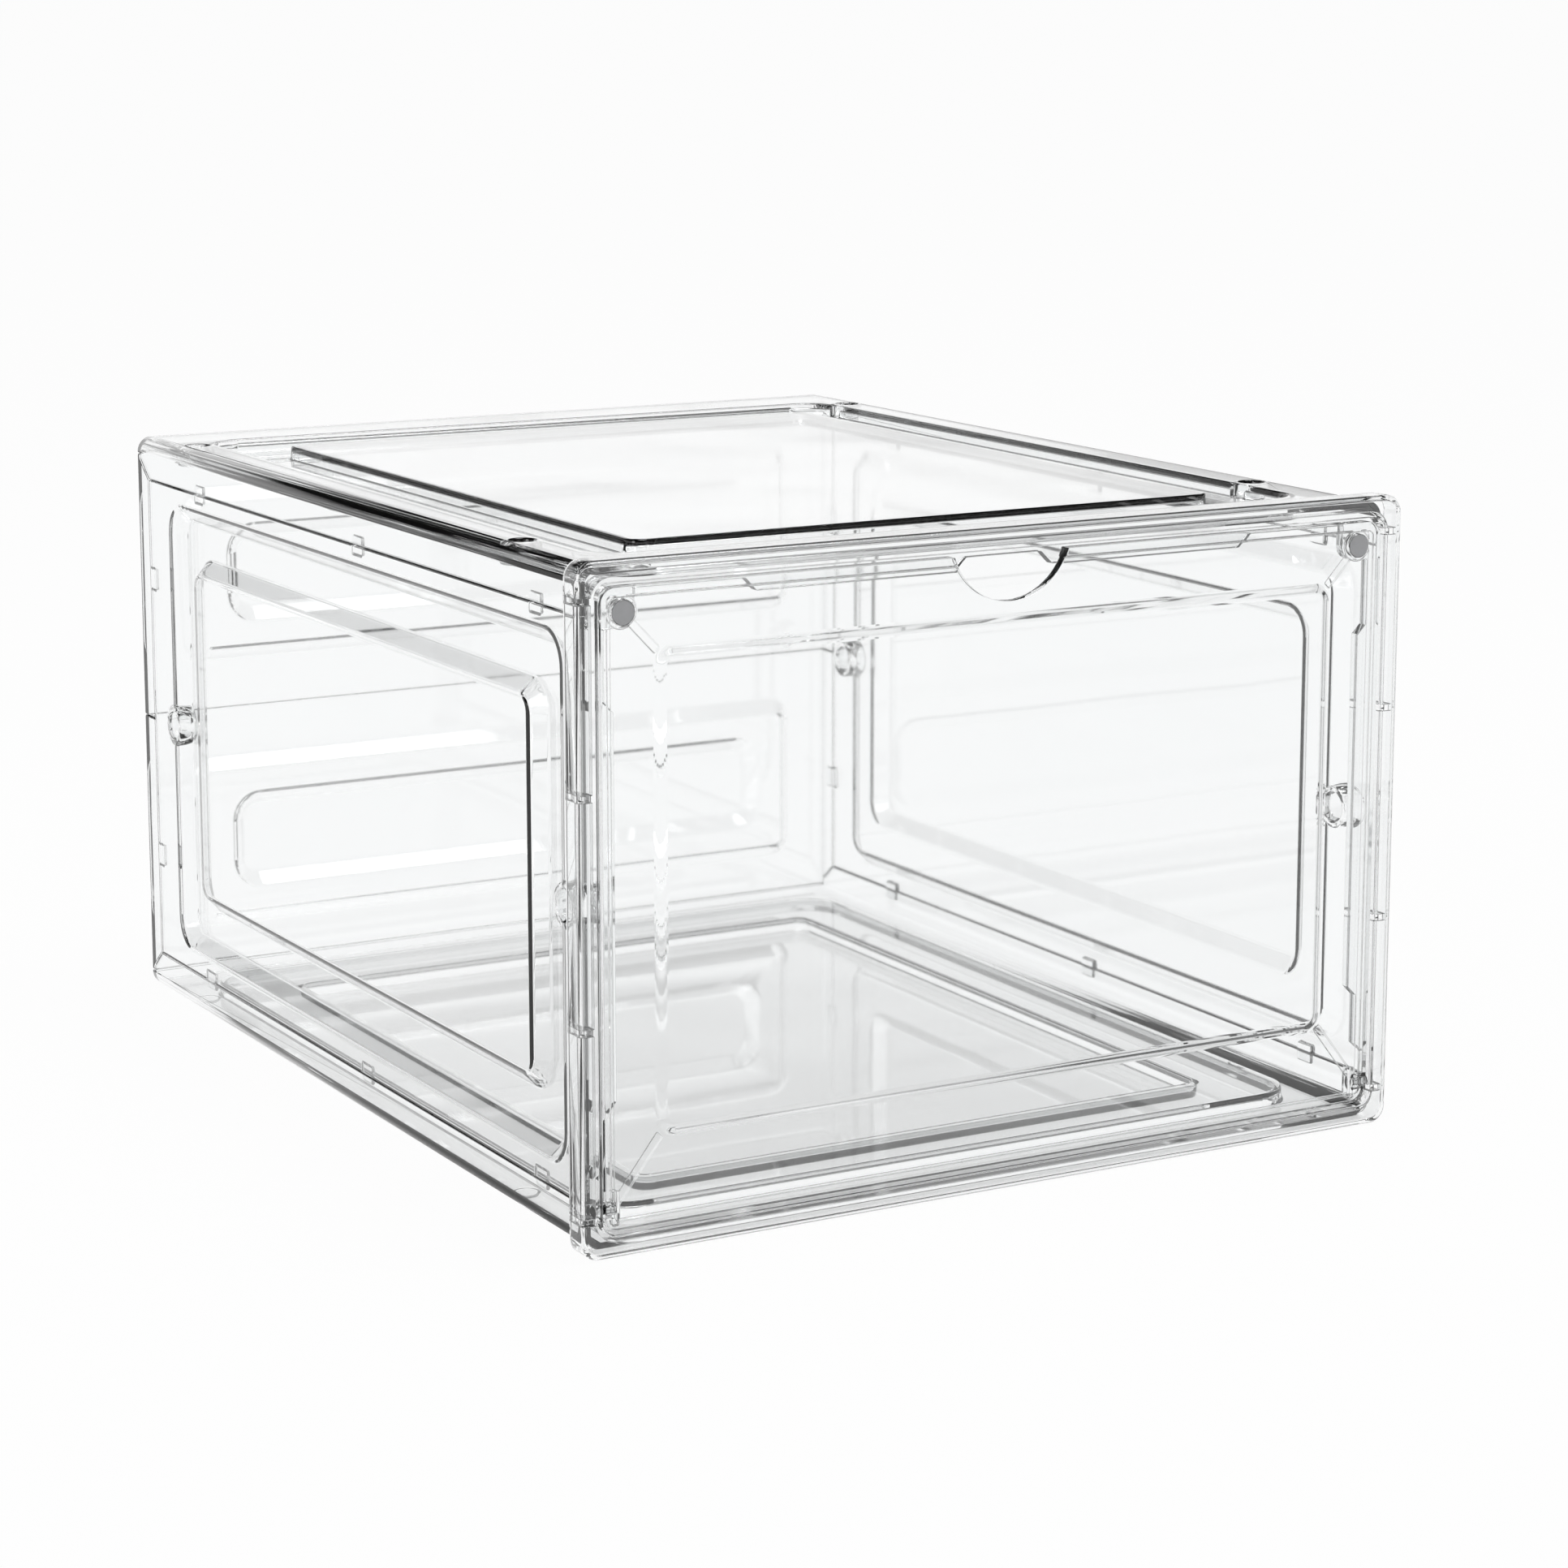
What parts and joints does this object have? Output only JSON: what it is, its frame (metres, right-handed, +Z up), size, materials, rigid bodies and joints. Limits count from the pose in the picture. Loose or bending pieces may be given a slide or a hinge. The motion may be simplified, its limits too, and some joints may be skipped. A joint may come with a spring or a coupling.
{
  "type": "clear drop-front storage box",
  "caption": "Clear stackable storage box of plug-together moulded panels, with a framed front and a bottom-hinged magnetic door that has a thumb notch.",
  "frame": {"origin": "middle of the footprint, on the ground", "axes": "+X to the right seen from the front, +Y from the door to the back wall, +Z up"},
  "size_m": [0.28, 0.344, 0.1973],
  "materials": {
    "clear_plastic": "clear gloss",
    "pin_plastic": "clear gloss",
    "magnet": "satin",
    "catch_steel": "satin"
  },
  "bodies": {
    "box": {"front_frame": "clear_plastic", "hinge_pin_left": "pin_plastic", "hinge_pin_right": "pin_plastic", "frame_catch_left": "catch_steel", "frame_catch_right": "catch_steel", "left_side_panel": "clear_plastic", "right_side_panel": "clear_plastic", "back_panel_upper": "clear_plastic", "back_panel_lower": "clear_plastic", "top_panel": "clear_plastic", "bottom_panel": "clear_plastic"},
    "door": {"front_door": "clear_plastic", "door_magnet_left": "magnet", "door_magnet_right": "magnet"}
  },
  "joints": [
    {"name": "door_hinge", "type": "hinge", "parent": "box", "child": "door", "pos_m": [0, -0.1678, 0.0134], "axis": [1, 0, 0], "range_deg": [0, 90]}
  ]
}
